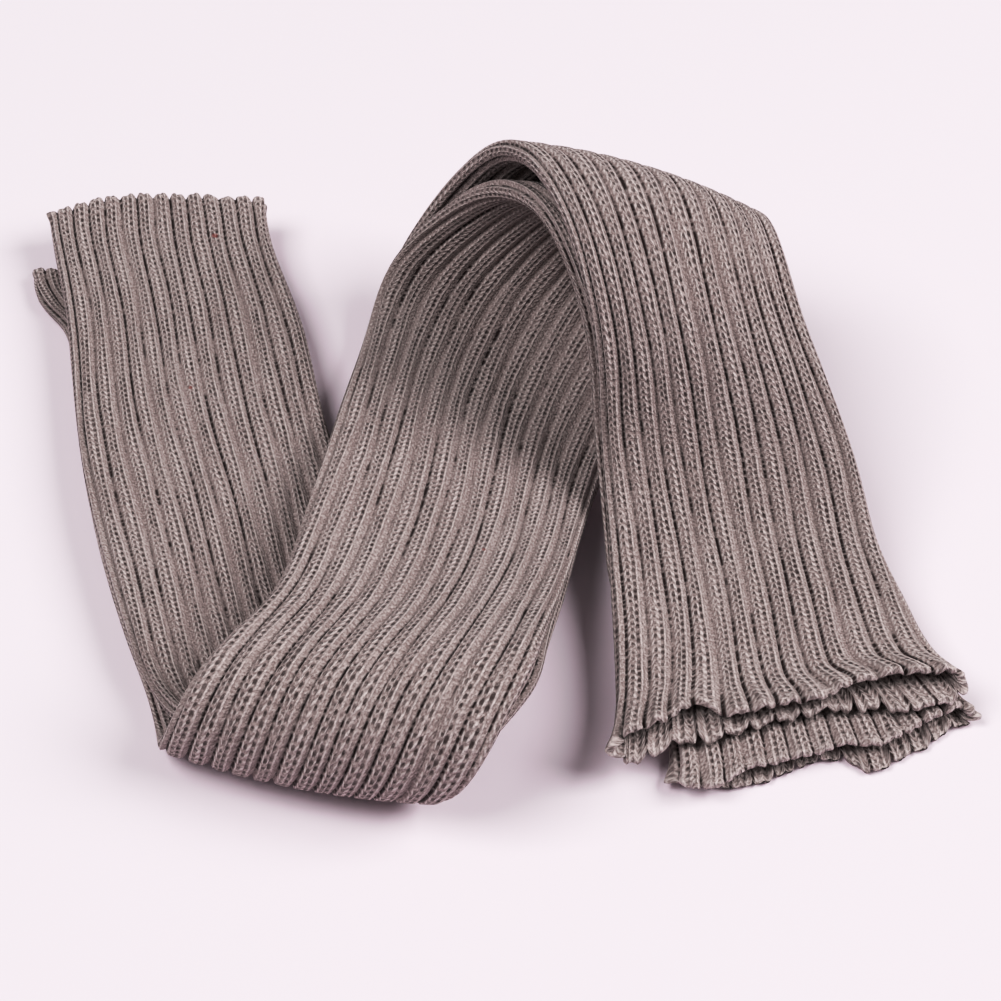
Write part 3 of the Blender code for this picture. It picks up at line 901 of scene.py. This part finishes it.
def aim(thing, place, target):
    """Puts a lamp or camera in the scene, turned toward its target."""
    thing.location = place
    thing.rotation_euler = (Vector(target) - Vector(place)).to_track_quat("-Z", "Y").to_euler()
    bpy.context.scene.collection.objects.link(thing)


def soft_light(name, place, width, power):
    lamp = bpy.data.lights.new(name, "AREA")
    lamp.shape = "SQUARE"
    lamp.size = width
    lamp.energy = power
    aim(bpy.data.objects.new(name, lamp), place, LAMP_TARGET)


def make_light():
    """A large soft lamp on either side, a little to the front, and faint light from all round."""
    world = bpy.data.worlds.new("studio")
    world.use_nodes = True
    n = Nodes(world.node_tree)
    sky = world.node_tree.nodes["Background"]
    sky.inputs["Color"].default_value = (1, 1, 1, 1)
    seen = n.add("ShaderNodeLightPath").outputs["Is Camera Ray"]
    n.put(sky.inputs["Strength"], n.plus(ALL_ROUND, n.times(seen, BACKDROP - ALL_ROUND)))
    bpy.context.scene.world = world
    for lamp in LAMPS:
        turn, height = math.radians(lamp.turn), math.radians(lamp.height)
        flat = LAMP_DISTANCE * math.cos(height)
        up = LAMP_DISTANCE * math.sin(height)
        place = (lamp.side * flat * math.cos(turn), -flat * math.sin(turn), up)
        soft_light(lamp.name, place, lamp.width, lamp.power)


def make_tone():
    """A camera's usual curve: deep shadows, and highlights that come in gently."""
    view = bpy.context.scene.view_settings
    view.view_transform = "Standard"
    view.use_curve_mapping = True
    curve = view.curve_mapping.curves[3]
    curve.points[0].location = TONE[0]
    curve.points[-1].location = TONE[-1]
    for place in TONE[1:-1]:
        curve.points.new(*place)
    view.curve_mapping.update()


def make_camera():
    """Looks down from the near side, as a table-top shot with a long lens."""
    tilt = math.radians(CAMERA_TILT)
    target = Vector(CAMERA_TARGET) - Vector(MIDDLE) * MM
    back = Vector((0, -math.cos(tilt), math.sin(tilt)))
    lens = bpy.data.cameras.new("camera")
    lens.lens = LENS
    lens.sensor_width = FILM
    lens.shift_y = LENS_SHIFT
    camera = bpy.data.objects.new("camera", lens)
    aim(camera, target + back * CAMERA_DISTANCE, target)
    bpy.context.scene.camera = camera


make_socks()
make_floor()
make_light()
make_tone()
make_camera()
